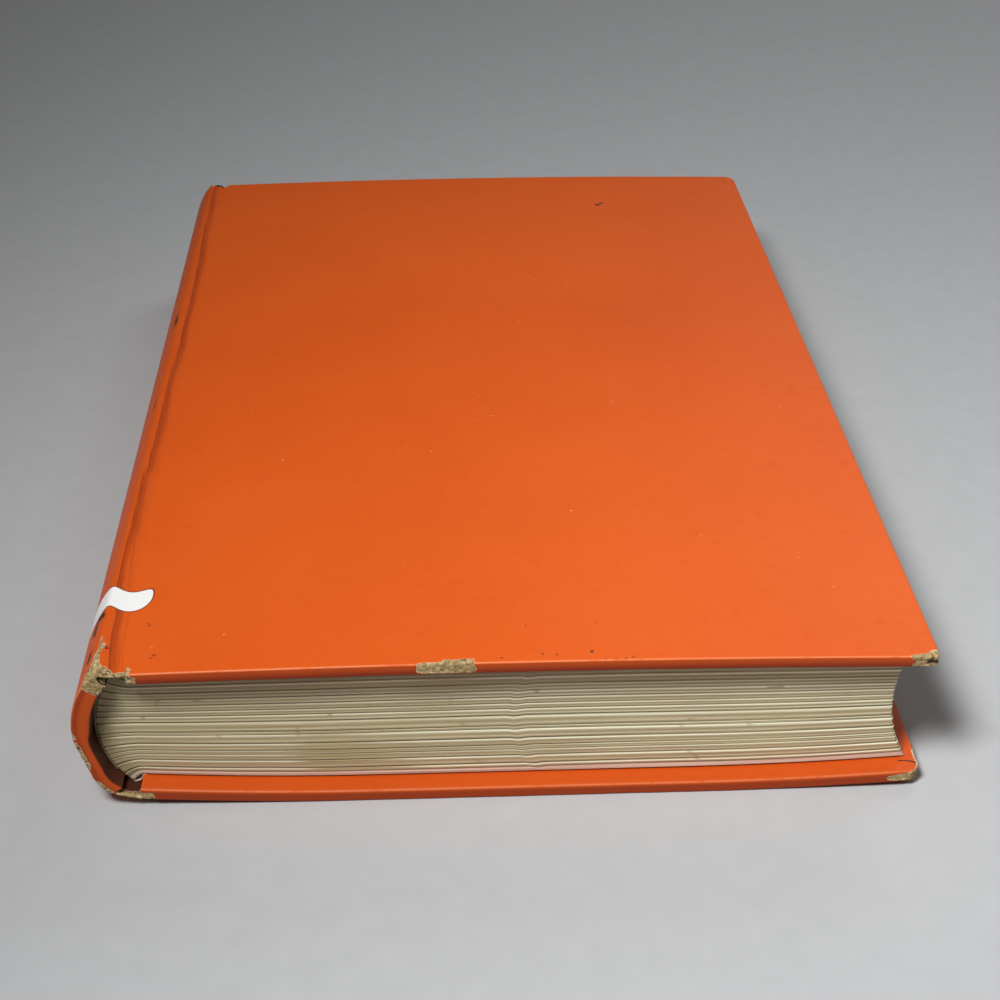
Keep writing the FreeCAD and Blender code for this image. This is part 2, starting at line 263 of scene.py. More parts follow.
class Wire:
    """The output of a shader node. Arithmetic on it adds Math nodes, and node() adds any other kind."""

    def __init__(self, tree, socket=None):
        self.tree = tree
        self.socket = socket

    def node(self, kind, settings=None, values=None, output=0):
        """Adds a node of a kind: its settings or a ramp's stops first, then its sockets' values or links."""
        made = self.tree.nodes.new("ShaderNode" + kind)
        for name, value in (settings or {}).items():
            if name == "stops":
                ramp = made.color_ramp.elements
                for place_, colour in value[2:]:
                    ramp.new(place_).color = colour
                for i, (place_, colour) in enumerate(value[:2]):
                    ramp[i if i == 0 else len(ramp) - 1].color = colour
                    ramp[i if i == 0 else len(ramp) - 1].position = place_
            else:
                setattr(made, name, value)
        for name, value in (values or {}).items():
            if isinstance(value, Wire):
                self.tree.links.new(value.socket, made.inputs[name])
            else:
                made.inputs[name].default_value = value
        return Wire(self.tree, made.outputs[output])

    def math(self, operation, *operands):
        """A Math node on these numbers or wires, in order."""
        return self.node("Math", {"operation": operation}, dict(enumerate(operands)))

    def __add__(self, other):
        return self.math("ADD", self, other)

    __radd__ = __add__

    def __sub__(self, other):
        return self.math("SUBTRACT", self, other)

    def __rsub__(self, other):
        return self.math("SUBTRACT", other, self)

    def __mul__(self, other):
        return self.math("MULTIPLY", self, other)

    __rmul__ = __mul__

    def __truediv__(self, other):
        return self.math("DIVIDE", self, other)

    def __gt__(self, other):
        return self.math("GREATER_THAN", self, other)

    def at_most(self, other):
        """The smaller of the two."""
        return self.math("MINIMUM", self, other)

    def at_least(self, other):
        """The larger of the two."""
        return self.math("MAXIMUM", self, other)

    def between(self, start, end):
        """0 before start, 1 after end and smooth between, which may run downwards."""
        limits = {"Value": self, "From Min": start, "From Max": end}
        return self.node("MapRange", {"interpolation_type": "SMOOTHSTEP"}, limits)

    def mix(self, first, second):
        """The first colour where this is 0 and the second where it is 1."""
        return self.node("Mix", {"data_type": "RGBA"}, {0: self, 6: first, 7: second}, 2)

    def attribute(self, name):
        """A number kept on the mesh."""
        return self.node("Attribute", {"attribute_name": name}, None, "Fac")

    def position(self, scale=(1.0, 1.0, 1.0)):
        """Object coordinates, in metres, stretched by scale."""
        at = self.node("TexCoord", None, None, "Object")
        return at.node("Mapping", None, {"Vector": at, "Scale": scale})

    def axes(self):
        """The three numbers of a vector."""
        split = self.node("SeparateXYZ", None, {0: self})
        outputs = split.socket.node.outputs
        return [Wire(self.tree, outputs[i]) for i in range(3)]

    def noise(self, scale, detail=2.0, roughness=0.5):
        """Noise read at this vector."""
        values = {"Vector": self, "Scale": scale, "Detail": detail, "Roughness": roughness}
        return self.node("TexNoise", None, values, "Fac")

    def reach(self, other, squareness=2.0):
        """How far out these two distances lie: on circles at a squareness of 2, on squarer outlines above."""
        total = None
        for wire in (self, other):
            part = wire.math("POWER", wire.math("ABSOLUTE", wire), squareness)
            total = part if total is None else total + part
        return total.math("POWER", total, 1.0 / squareness)

    def distance(self, point):
        """How far this vector is from a point."""
        return self.node("VectorMath", {"operation": "DISTANCE"}, {0: self, 1: point}, "Value")


def colour(*rgb):
    """A colour with its alpha."""
    return (*rgb, 1.0)


def shade(base, *factors):
    """A colour made darker, by one factor for all three of its parts or by one for each."""
    return colour(*(part * factor for part, factor in zip(base, factors * (3 // len(factors)))))


class Finish:
    """A material with one Principled shader, and the wires that its look is worked out on."""

    def __init__(self, name, roughness, **constants):
        self.material = bpy.data.materials.new(name)
        self.material.use_nodes = True
        tree = self.material.node_tree
        self.shader = tree.nodes["Principled BSDF"]
        self.wire = Wire(tree)
        self.set("Roughness", roughness)
        for socket, value in constants.items():
            self.set(socket.replace("_", " "), value)

    def set(self, socket, value):
        """Sets or links one of the shader's sockets."""
        if isinstance(value, Wire):
            self.wire.tree.links.new(value.socket, self.shader.inputs[socket])
        else:
            self.shader.inputs[socket].default_value = value

    def bump(self, height, distance, strength=1.0):
        """Raises the surface by height, where 1 stands for distance in metres."""
        values = {"Height": height, "Distance": distance, "Strength": strength}
        self.set("Normal", self.wire.node("Bump", None, values, "Normal"))


def board_colour(wire):
    """Bare board and torn paper: tan strands, some of them bright, over darker pits."""
    strands = wire.position((1.0, 0.4, 2.0)).noise(1500.0, 5.0, 0.72)
    loose = wire.position((0.45, 1.5, 1.2)).noise(1900.0, 4.0, 0.7)
    pits = wire.position().noise(640.0, 4.0, 0.65)
    tan = strands.between(0.34, 0.66).mix(colour(0.24, 0.150, 0.058), colour(0.58, 0.425, 0.205))
    tan = loose.between(0.55, 0.66).mix(tan, colour(0.84, 0.71, 0.46))
    return pits.between(0.43, 0.35).mix(tan, colour(0.13, 0.078, 0.032)), strands + loose + pits


def board_finish():
    """The stiff boards and the spine card."""
    finish = Finish("grey_board", 0.95)
    tan, relief = board_colour(finish.wire)
    finish.set("Base Color", tan)
    finish.bump(relief, 0.0002, 0.6)
    return finish.material


def endpaper_finish():
    """Endpapers: smooth cream paper, foxed a little, with a pinkish cast."""
    finish = Finish("endpaper", 0.85)
    at = finish.wire.position()
    cast = at.noise(18.0, 3.0).between(0.3, 0.7).mix(colour(0.60, 0.46, 0.34), colour(0.66, 0.53, 0.40))
    foxing = at.noise(240.0, 2.0).between(0.74, 0.82) * 0.5
    finish.set("Base Color", foxing.mix(cast, colour(0.45, 0.28, 0.16)))
    finish.bump(at.noise(2500.0, 3.0), 0.00005, 0.4)
    return finish.material


def cloth_finish(name, light, dark, threads):
    """Open cloth under glue: two crossed sets of threads, each the sine of a coordinate."""
    finish = Finish(name, 0.9)
    x, y, z = finish.wire.position().axes()
    warp = (y * threads).math("SINE", y * threads)
    weft = (z * threads + x * threads).math("SINE", z * threads + x * threads)
    weave = warp.at_least(weft)
    uneven = finish.wire.position().noise(400.0, 3.0)
    finish.set("Base Color", (weave * 0.35 + uneven * 0.6 + 0.1).between(0.0, 1.0).mix(dark, light))
    finish.bump(weave, 0.00012, 0.7)
    return finish.material


def lining_finish():
    """The paper glued over the gauze: brown kraft with long fibres, painted darker than kraft as shade, since its end
    shows in the dark hollow at the tail.
    """
    finish = Finish("lining_paper", 0.9)
    fibres = finish.wire.position((1.0, 0.25, 1.0)).noise(3000.0, 4.0, 0.7)
    # Painted shade: both browns are kept dark.
    finish.set("Base Color", fibres.between(0.3, 0.7).mix(colour(0.13, 0.088, 0.05), colour(0.19, 0.135, 0.08)))
    finish.bump(fibres, 0.00008, 0.5)
    return finish.material


def page_finish():
    """The trimmed edges of the leaves: fine lines of leaves, with a painted highlight where a section's outer leaf
    shows, and painted shade, grey-brown, in the gaps between sections, under the front cover's edge and beside the
    spine."""
    finish = Finish("page_paper", 0.88)
    wire = finish.wire
    section = wire.attribute("section")
    run = wire.attribute("run")
    bright = wire.attribute("bright")
    gap = wire.attribute("gap")
    pink = wire.attribute("pink")
    wander = wire.node("CombineXYZ", None, {0: run * 0.02, 1: section * 3.0, 2: 0.0}).noise(1.0, 3.0)
    leaf_place = wire.node("CombineXYZ", None, {0: run * 0.012, 1: (section + wander * 0.08) * 22.0, 2: 0.0})
    leaves = leaf_place.noise(1.0, 2.0, 0.6)
    fine = wire.node("CombineXYZ", None, {0: run * 0.05, 1: section * 60.0, 2: 0.0}).noise(1.0, 1.0)
    tone = (leaves * 0.65 + fine * 0.35).between(0.3, 0.7)
    leaf = bpy.context.scene.book_settings.leaf_colour
    body = tone.mix(shade(leaf, 0.31, 0.246, 0.163), shade(leaf, 0.67, 0.574, 0.439))
    soil = wire.position().noise(60.0, 3.0).between(0.45, 0.75) * 0.3
    body = soil.mix(body, colour(0.40, 0.31, 0.17))
    body = pink.mix(body, colour(0.90, 0.75, 0.62))
    # Painted highlight: the leaf edges take the full leaf colour where they stand proud, as if catching the light.
    lit = bright.mix(body, colour(*leaf))
    # Painted shade: near-black brown over the valleys between sections, under the front cover's edge and beside the
    # spine.
    finish.set("Base Color", gap.mix(lit, colour(0.055, 0.040, 0.020)))
    finish.bump(leaves * 0.6 + fine * 0.4, 0.00012, 0.7)
    return finish.material


SPECKS = (
    (106.4, 213.2, 1.0, 0.9), (107.6, 214.2, 0.8, 0.85), (50.5, 190.5, 0.5, 0.6), (2.7, 14.9, 0.5, 0.5),
    (2.3, 15.6, 0.35, 0.4), (4.7, 5.5, 0.5, 0.6), (4.3, 4.7, 0.4, 0.45), (68.4, 1.3, 0.4, 0.6), (85.0, 2.7, 0.5, 0.85),
    (76.0, 2.3, 0.45, 0.5), (78.5, 2.0, 0.4, 0.5), (87.4, 0.5, 0.3, 0.55), (89.2, 0.45, 0.3, 0.5),
    (91.1, 0.5, 0.3, 0.55), (92.5, 0.7, 0.35, 0.65), (73.4, 11.2, 0.35, 0.4), (82.5, 11.2, 0.35, 0.35),
    (86.5, 11.5, 0.35, 0.35), (34.0, 61.0, 0.22, 0.4), (121.0, 96.0, 0.25, 0.4), (18.0, 128.0, 0.25, 0.4),
)
STRIPE_CENTRE, STRIPE_END = 22.9, 2.2


def covering_finish():
    """Printed paper under a worn satin varnish, read at Object coordinates. The mesh says where it is worn
    through to the board (wear), where it is folded over an edge, with painted shade down the edge's wall (fold), and
    where it is creased, with painted shade in the joint's hollow (crease). It also says where real dark marks and
    painted shade in hollows lie, and where a painted highlight runs along an edge's rim.
    sheet_x is the distance from the board's spine edge along the sheet, and front is 1 on the front."""
    finish = Finish("orange_covering", 0.42, Specular_IOR_Level=0.22)
    settings = bpy.context.scene.book_settings
    printed, stripe = settings.covering_colour, settings.stripe_colour
    wire = finish.wire
    at = wire.position()
    x, y, z = at.axes()
    sheet_x = wire.attribute("sheet_x")
    front = wire.attribute("front")
    fold = wire.attribute("fold")
    crease = wire.attribute("crease")
    tooth = at.noise(1500.0, 3.0, 0.6)
    cloud = at.noise(14.0, 4.0, 0.55)
    mottle = at.noise(330.0, 3.0, 0.6)

    print_colour = cloud.between(0.25, 0.75).mix(shade(printed, 0.925, 0.86, 0.74), colour(*printed))
    print_colour = (mottle.between(0.55, 0.75) * 0.22).mix(print_colour, shade(printed, 0.775, 0.645, 0.87))
    print_colour = (tooth.between(0.66, 0.78) * 0.3).mix(print_colour, colour(0.90, 0.22, 0.05))
    print_colour = (sheet_x.between(-1.0, -4.0) * 0.15).mix(print_colour, shade(printed, 0.525, 0.43, 0.52))
    # Painted highlight: a pale line along the rim of each edge, broken up by the mottle, standing in for the varnish's
    # glint.
    rubbed = wire.attribute("rub") * (mottle.between(0.36, 0.50) * 0.6 + 0.4)
    # Painted shade: the folded edges darken to a deep red, more towards the bottom of the front cover's wall, and over
    # all of the back cover, most on its underside and lower wall.
    print_colour = (fold * 0.92).mix(print_colour, shade(printed, 0.288, 0.165, 0.174))
    print_colour = (rubbed * 0.42).mix(print_colour, colour(0.97, 0.43, 0.22))
    # Dark red over the cracks and streaks, and painted shade in the joint's hollow.
    print_colour = crease.mix(print_colour, shade(printed, 0.30, 0.182, 0.26))

    flat = wire.node("CombineXYZ", None, {0: x, 1: y, 2: 0.0})
    shaken = wire.node(
        "VectorMath", {"operation": "ADD"},
        {0: flat, 1: wire.node("CombineXYZ", None, {0: mottle * 0.0006, 1: tooth * 0.0008, 2: 0.0})},
    )
    marks = None
    for speck_x, speck_y, radius, strength in SPECKS:
        where = ((speck_x + ORIGIN[0] + 0.3) * MM, (speck_y + ORIGIN[1] + 0.4) * MM, 0.0)
        mark = shaken.distance(where).between(radius * MM, radius * 0.55 * MM) * strength
        marks = mark if marks is None else marks.at_least(mark)
    marks = marks * front
    print_colour = marks.mix(print_colour, colour(0.10, 0.045, 0.028))
    dust = at.noise(700.0, 1.0).between(0.80, 0.84) * 0.5
    print_colour = dust.mix(print_colour, colour(0.95, 0.45, 0.2))

    # The dark seam of the fold inside the back cover's fore corner: part of a squarish ellipse
    across = (x - (144.6 + ORIGIN[0]) * MM) / (4.6 * MM)
    inward = (y - (-0.2 + ORIGIN[1]) * MM) / (3.4 * MM)
    radius = across.reach(inward, 3.0) + (mottle - 0.5) * 0.10
    inner_face = (z > 0.00375) * (1.0 - front) * (x > (143.9 + ORIGIN[0]) * MM)
    seam = (radius - 1.0).math("ABSOLUTE", radius - 1.0).between(0.06, 0.03) * inner_face
    print_colour = seam.mix(print_colour, colour(0.035, 0.014, 0.010))

    # A plain white stripe with a rounded end, which crosses the joint on to the spine
    bend = sheet_x + 1.4
    rise = bend * bend * (0.115 + (bend > 0.0) * 0.055)
    rise = rise.math("SMOOTH_MIN", rise, 2.0, 1.3)
    past_ridge = (sheet_x + 6.6).at_most(0.0) * -1.0
    width = settings.stripe_width
    middle = y - (rise - past_ridge * 0.125) * MM - (STRIPE_CENTRE + ORIGIN[1]) * MM
    half = past_ridge * (0.175 * MM) + width / 2.0
    beyond = (sheet_x * MM - (STRIPE_END * MM - width / 2.0)).at_least(0.0)
    reach = middle.reach(beyond, 2.8)
    start = sheet_x.between(-15.5, -15.0) * front
    white = reach.between(half + 0.00009, half - 0.00009) * start
    rim = reach.between(half + 0.0004, half + 0.0002) * start
    print_colour = (rim * 0.75).mix(print_colour, colour(0.10, 0.035, 0.02))
    print_colour = white.mix(print_colour, tooth.between(0.3, 0.8).mix(shade(stripe, 0.96), colour(*stripe)))

    worn = wire.attribute("wear") + (at.noise(1900.0, 4.0, 0.7) - 0.5) * 0.55
    scuffed = fold * at.noise(420.0, 4.0, 0.65).between(0.70, 0.76)
    bare = worn.between(0.47, 0.53).at_least(scuffed * 0.8)
    torn = worn.between(0.36, 0.42) * (1.0 - worn.between(0.50, 0.56))
    tan, relief = board_colour(wire)
    shown = bare.mix(print_colour, tan)
    shown = (torn * 0.75).mix(shown, colour(0.80, 0.66, 0.45))
    # Near black for real dark marks on the spine and for painted shade in hollows.
    stain = wire.attribute("stain")
    finish.set("Base Color", stain.mix(shown, colour(0.030, 0.017, 0.012)))
    polish = 0.40 + mottle * 0.12 + bare * 0.5 + cloud * 0.06
    finish.set("Roughness", polish)
    grain = (1.0 - bare) * (tooth * 0.16 + mottle * 0.1) + bare * relief * 0.9 - marks * 0.3 - crease * 0.3
    finish.bump(grain, 0.00012, 0.45)
    return finish.material


MATERIALS = {}


def material(slot):
    """The material of a slot in the record, made when it is first asked for."""
    makers = {
        "page_paper": page_finish,
        "endpaper": endpaper_finish,
        "gauze": lambda: cloth_finish("gauze", colour(0.26, 0.20, 0.125), colour(0.12, 0.09, 0.05), 5200.0),
        "lining_paper": lining_finish,
        "grey_board": board_finish,
        "orange_covering": covering_finish,
        "hinge_cloth": lambda: cloth_finish(
            "hinge_cloth", colour(0.64, 0.50, 0.37), colour(0.52, 0.39, 0.28), 4200.0
        ),
    }
    if slot not in MATERIALS:
        MATERIALS[slot] = makers[slot]()
    return MATERIALS[slot]


# Covers

EDGE_ROUND = 0.42
COVER_THICKNESS = 2.5
TURN_IN_SHOWN = 5.0
STRIP = 6.0
PASTEDOWN_MARGIN = 4.7


def contour(x, y, inset, tail_radius=CORNER_RADIUS):
    """Where a point of the board's full rectangle lies once its outline is drawn in by inset. The strips
    along the three edges shrink, and near the two fore corners each square line at distance d inside the
    outline becomes an arc of the corner's radius less d about the corner's centre."""
    side = np.where(y < BOARD_HEIGHT / 2.0, -1.0, 1.0)
    p = np.clip(x - (BOARD_WIDTH - STRIP), 0.0, None) * (STRIP - inset) / STRIP
    q = np.clip(np.abs(y - BOARD_HEIGHT / 2.0) - (BOARD_HEIGHT / 2.0 - STRIP), 0.0, None)
    q = q * (STRIP - inset) / STRIP
    reach = np.maximum(p, q)
    radius = np.clip(np.where(side < 0, tail_radius, CORNER_RADIUS) - (STRIP - reach), 0.0, None)
    inner = reach - radius
    dp, dq = p - inner, q - inner
    turning = (p > 0) & (q > 0) & (dp > 0) & (dq > 0)
    length = np.where(turning, np.hypot(dp, dq), 1.0)
    p = np.where(turning, inner + dp * radius / length, p)
    q = np.where(turning, inner + dq * radius / length, q)
    flat_x = np.minimum(x, BOARD_WIDTH - STRIP)
    flat_y = np.clip(y, STRIP, BOARD_HEIGHT - STRIP)
    return flat_x + p, flat_y + side * q


def edge_profile(thickness, radius, shown, steps=5):
    """A sheet's way round an edge: inset and depth, and the inward direction, from the outer face round a
    quarter circle, down the edge, round another and in along the inner face."""
    turn = np.linspace(0.0, np.pi / 2.0, steps + 1)
    wall = np.linspace(0.0, 1.0, 7)[1:-1]
    under = np.linspace(0.0, 1.0, 9)[1:]
    inset = [radius * (1 - np.sin(turn)), wall * 0.0, radius * (1 - np.cos(turn)), radius + (shown - radius) * under]
    depth = [
        radius * (1 - np.cos(turn)),
        radius + (thickness - 2 * radius) * wall,
        thickness - radius + radius * np.sin(turn),
        thickness + under * 0.0,
    ]
    into = [np.sin(turn), wall * 0.0 + 1.0, np.cos(turn), under * 0.0]
    down = [np.cos(turn), wall * 0.0, -np.sin(turn), under * 0.0 - 1.0]
    return [np.concatenate(part) for part in (inset, depth, into, down)]


def chip_wear(x, y, depth):
    """The chip in the front cover's tail edge: 1 inside a ragged box on the edge's wall, which takes a step
    further in over its right half."""
    ragged = rough(x, y, depth, 1.4, 11) * 0.35 + noise(x, y, depth, 0.45, 14) * 0.2
    sides = eased(x + ragged, 52.9, 53.4) * (1 - eased(x + ragged, 63.2, 63.7))
    inward = 1 - eased(y + 0.35 * ragged - 0.75 * eased(x, 57.3, 57.8), 0.35, 0.75)
    lower = 1 - eased(depth + ragged * 0.5, 1.9, 2.3)
    return sides * inward * lower


def fore_wear(x, y, depth, reach, seed):
    """A rubbed fore corner at the tail, mostly on the edge's wall: 1 within reach of the corner there, with a
    ragged limit, and only a narrow rim on the outer face."""
    away = np.hypot(BOARD_WIDTH - x, y) + 0.75 * (reach - 1.2) * (1 - eased(depth, 0.1, 0.6))
    ragged = rough(x, y, depth, 2.2, seed) * 0.6 + noise(x, y, depth, 0.6, seed + 5) * 0.35
    return 1 - eased(away + ragged, reach - 0.5, reach + 0.5)


def spine_wear(x, y, depth, reach, seed):
    """A rubbed spine corner at the tail."""
    ragged = rough(x, y, depth, 1.6, seed) * 0.5 + noise(x, y, depth, 0.5, seed + 5) * 0.3
    return 1 - eased(np.hypot(x + 0.1, y * 0.9) + ragged, reach - 0.4, reach + 0.4)


def head_wear(x, y, depth, reach, seed):
    """A lightly rubbed fore corner at the head."""
    away = np.hypot(BOARD_WIDTH - x, BOARD_HEIGHT - y) + rough(x, y, depth, 1.8, seed) * 0.7
    return 0.8 * (1 - eased(away, reach, reach + 1.4))


def front_wear(x, y, depth):
    """Where the front covering is worn through, and the painted shade of its opened fore corner: the corner's edge
    has split along the middle of its wall, and the hollow of the split is painted near black as shade."""
    worn = np.maximum(chip_wear(x, y, depth), fore_wear(x, y, depth, 4.9, 21))
    worn = np.maximum(worn, spine_wear(x, y, depth, 1.5, 31))
    worn = np.maximum(worn, head_wear(x, y, depth, 1.2, 41))
    ragged = rough(x, y, depth, 1.1, 81)
    rim = 1 - eased(y + 0.3 * ragged - 0.24 * (x - 144.0), 0.45, 0.9)
    rim = rim * eased(x + 0.6 * ragged, 143.2, 144.0) * (1 - eased(depth, 0.5, 0.9))
    worn = np.maximum(worn, rim)
    away = np.hypot(BOARD_WIDTH - x, y) + 0.7 * ragged
    middle = np.abs(depth - 1.25 + 0.35 * noise(x, y, depth, 1.3, 83))
    return worn, (1 - eased(middle, 0.3, 0.6)) * (1 - eased(away, 4.3, 5.1)) * 0.97


def back_wear(x, y, depth):
    """Where the back covering is worn through. Its inner face is whole but for the very tip."""
    lower = 1 - eased(depth - 0.16 * (x - 143.0), 1.3, 1.9)
    worn = np.maximum(fore_wear(x, y, depth, 6.6, 51) * lower, fore_wear(x, y, depth, 1.7, 55))
    worn = np.maximum(worn, spine_wear(x, y, depth, 2.3, 61) * (1 - eased(depth, 1.4, 1.9)))
    worn = np.maximum(worn, head_wear(x, y, depth, 1.6, 71))
    return worn, 0.0 * worn


def cover_skin(name, height, side, wear, tail_radius):
    """The covering of one board, from its spine edge round its three other edges to the turn-in.
    Outer face: the contour at the edge radius, at the bow's height. Edges: every point of the rectangle's
    border carried round edge_profile. side is 1 where the outer face looks up and -1 where down."""
    skin = Patches()
    x_stations = stations(
        (0, 4, 14), (4, 20, 16), (20, 50, 24), (50, 66, 72), (66, 140, 60), (140, BOARD_WIDTH, 36)
    )
    y_stations = stations(
        (0, 6, 26), (6, 24, 14), (24, BOARD_HEIGHT - 20, 36), (BOARD_HEIGHT - 20, BOARD_HEIGHT, 22)
    )
    inset, depth, into, down = edge_profile(COVER_THICKNESS, EDGE_ROUND, TURN_IN_SHOWN)

    def surfaced(x, y, at_inset, at_depth, inward, downward):
        """Points of the skin, sunk where the sheet is worn off, with their values."""
        px, py = contour(x, y, at_inset, tail_radius)
        # The second value is painted shade in the split corner's hollow, which also sinks the skin a little.
        worn, split = wear(px, py, at_depth)
        sink = worn * (0.10 + 0.10 * rough(px, py, at_depth, 0.7, 95)) + 0.25 * split
        sink = sink + 0.03 * rough(px, py, at_depth, 7.0, 91) * (inward > 0)
        px, py = contour(x, y, np.clip(at_inset + sink * inward, 0.0, STRIP - 0.2), tail_radius)
        pz = height(px) - side * (at_depth + np.maximum(sink, 0.0) * downward)
        # Painted shade down the edge's wall (fold), over the whole back cover as well, and a painted highlight along
        # the rim that faces up.
        if side > 0:
            fold = 0.50 * eased(at_depth, 0.08, 0.5) + 0.50 * eased(at_depth, 0.7, 2.1)
            fold = fold * (1 - eased(at_depth, 2.3, 2.5))
            rub = eased(at_depth, 0.0, 0.06) * (1 - eased(at_depth, 0.12, 0.3))
        else:
            fold = 0.26 + 0.52 * (1 - eased(at_depth, 1.6, 2.35))
            rub = 0.6 * eased(at_depth, 2.26, 2.38) * (1 - eased(at_inset, 0.2, 0.5))
        return np.stack([px, py, pz], axis=-1), dict(
            wear=worn, stain=split, fold=fold + 0 * px, rub=rub + 0 * px, sheet_x=px,
            front=1.0 if side > 0 else 0.0,
        )

    x, y = np.meshgrid(x_stations, y_stations, indexing="ij")
    points, values = surfaced(x, y, EDGE_ROUND, 0.0, 0.0, 1.0)
    skin.grid(points, flip=side < 0, **values)

    border = np.concatenate(
        [
            np.stack([x_stations, 0 * x_stations], axis=1),
            np.stack([0 * y_stations + BOARD_WIDTH, y_stations], axis=1)[1:],
            np.stack([x_stations, 0 * x_stations + BOARD_HEIGHT], axis=1)[::-1][1:],
        ]
    )
    points, values = surfaced(
        border[:, :1], border[:, 1:], inset[None, :], depth[None, :], into[None, :], down[None, :]
    )
    skin.grid(points, flip=side > 0, **values)
    piece = place(skin.mesh(name), material("orange_covering"))
    return piece


# Case spine and joints


def front_joint_line(steps):
    """The covering over the front joint. Its height eases from the ridge of the spine down to the board's
    edge as a smooth cubic, less a shallow groove that is a squared sine."""
    top = front_height(0.0)
    x = np.linspace(RIDGE[0], 0.0, steps + 1)
    share = (x - RIDGE[0]) / -RIDGE[0]
    z = RIDGE[1] + (top - RIDGE[1]) * eased(share, -0.15, 0.8) - 0.16 * np.sin(np.pi * share) ** 2
    z = z - (z[0] - RIDGE[1]) * (1 - share) ** 4
    return np.stack([x, z], axis=1)


def back_joint_line(steps):
    """The covering under the back joint, from the foot of the spine to the board."""
    bottom = back_height(0.0)
    tip = bottom + (COVER_THICKNESS + LEAF_GAP) - SHOULDER_HEIGHT - 0.75
    return arc_through(FOOT, (HINGE_X, tip), (0.0, bottom), steps)


def spine_line():
    """The outer line of the case spine from foot to ridge: three bulged panels between two creases."""
    return chained(
        bulged(FOOT, LOWER_CREASE, PANEL_SAGS[0], 10),
        bulged(LOWER_CREASE, UPPER_CREASE, PANEL_SAGS[1], 14),
        bulged(UPPER_CREASE, RIDGE, PANEL_SAGS[2], 30),
    )


def round_centre():
    """The centre of the round of the page block's back."""
    low = back_height(0.0) + COVER_THICKNESS + LEAF_GAP - SHOULDER_HEIGHT
    high = front_height(0.0) - COVER_THICKNESS - LEAF_GAP + SHOULDER_HEIGHT
    half = (high - low) / 2.0
    radius = (half**2 + SPINE_ROUND**2) / (2.0 * SPINE_ROUND)
    return np.array([-SHOULDER_REACH - SPINE_ROUND + radius, (low + high) / 2.0]), radius, low, high


def folded_band(name, line, inward, thickness, ends, values, flip):
    """A sheet carried along a line in XZ and folded in at the tail and head. Across it, each end follows
    edge_profile; the depth under the outer face is laid off along inward."""
    band = Patches()
    count = len(line)
    radius = np.minimum(0.5, thickness / 2.05)
    turn = np.linspace(0.0, np.pi / 2.0, 6)
    wall = np.linspace(0.0, 1.0, 6)[1:-1]
    reach = np.array([0.12, 0.3, 0.55, 1.0])
    r, t = radius[:, None], thickness[:, None]
    end_y = np.concatenate(
        [r * (1 - np.sin(turn)), r * 0 + wall * 0, r * (1 - np.cos(turn)), r + (ends - r) * reach], axis=1
    )
    end_depth = np.concatenate(
        [r * (1 - np.cos(turn)), r + (t - 2 * r) * wall, t - r + r * np.sin(turn), t + reach * 0], axis=1
    )
    face = stations((1.0, 8.0, 20), (8.0, 30.0, 22), (30.0, BOARD_HEIGHT - 12, 40), (BOARD_HEIGHT - 12, BOARD_HEIGHT - 1, 12))
    across_y = np.concatenate(
        [end_y[:, ::-1], np.broadcast_to(face, (count, len(face))), BOARD_HEIGHT - end_y], axis=1
    )
    across_depth = np.concatenate([end_depth[:, ::-1], np.zeros((count, len(face))), end_depth], axis=1)
    extra = values(line[:, :1] + across_y * 0, across_y, line[:, 1:] + across_y * 0, across_depth)
    sunk = across_depth + extra.pop("sink")
    y = across_y - extra.pop("drawn", 0.0)
    x = line[:, :1] + inward[:, :1] * sunk
    z = line[:, 1:] + inward[:, 1:] * sunk
    band.grid(np.stack([x, y, z], axis=-1), flip=flip, **extra)
    return band.mesh(name)


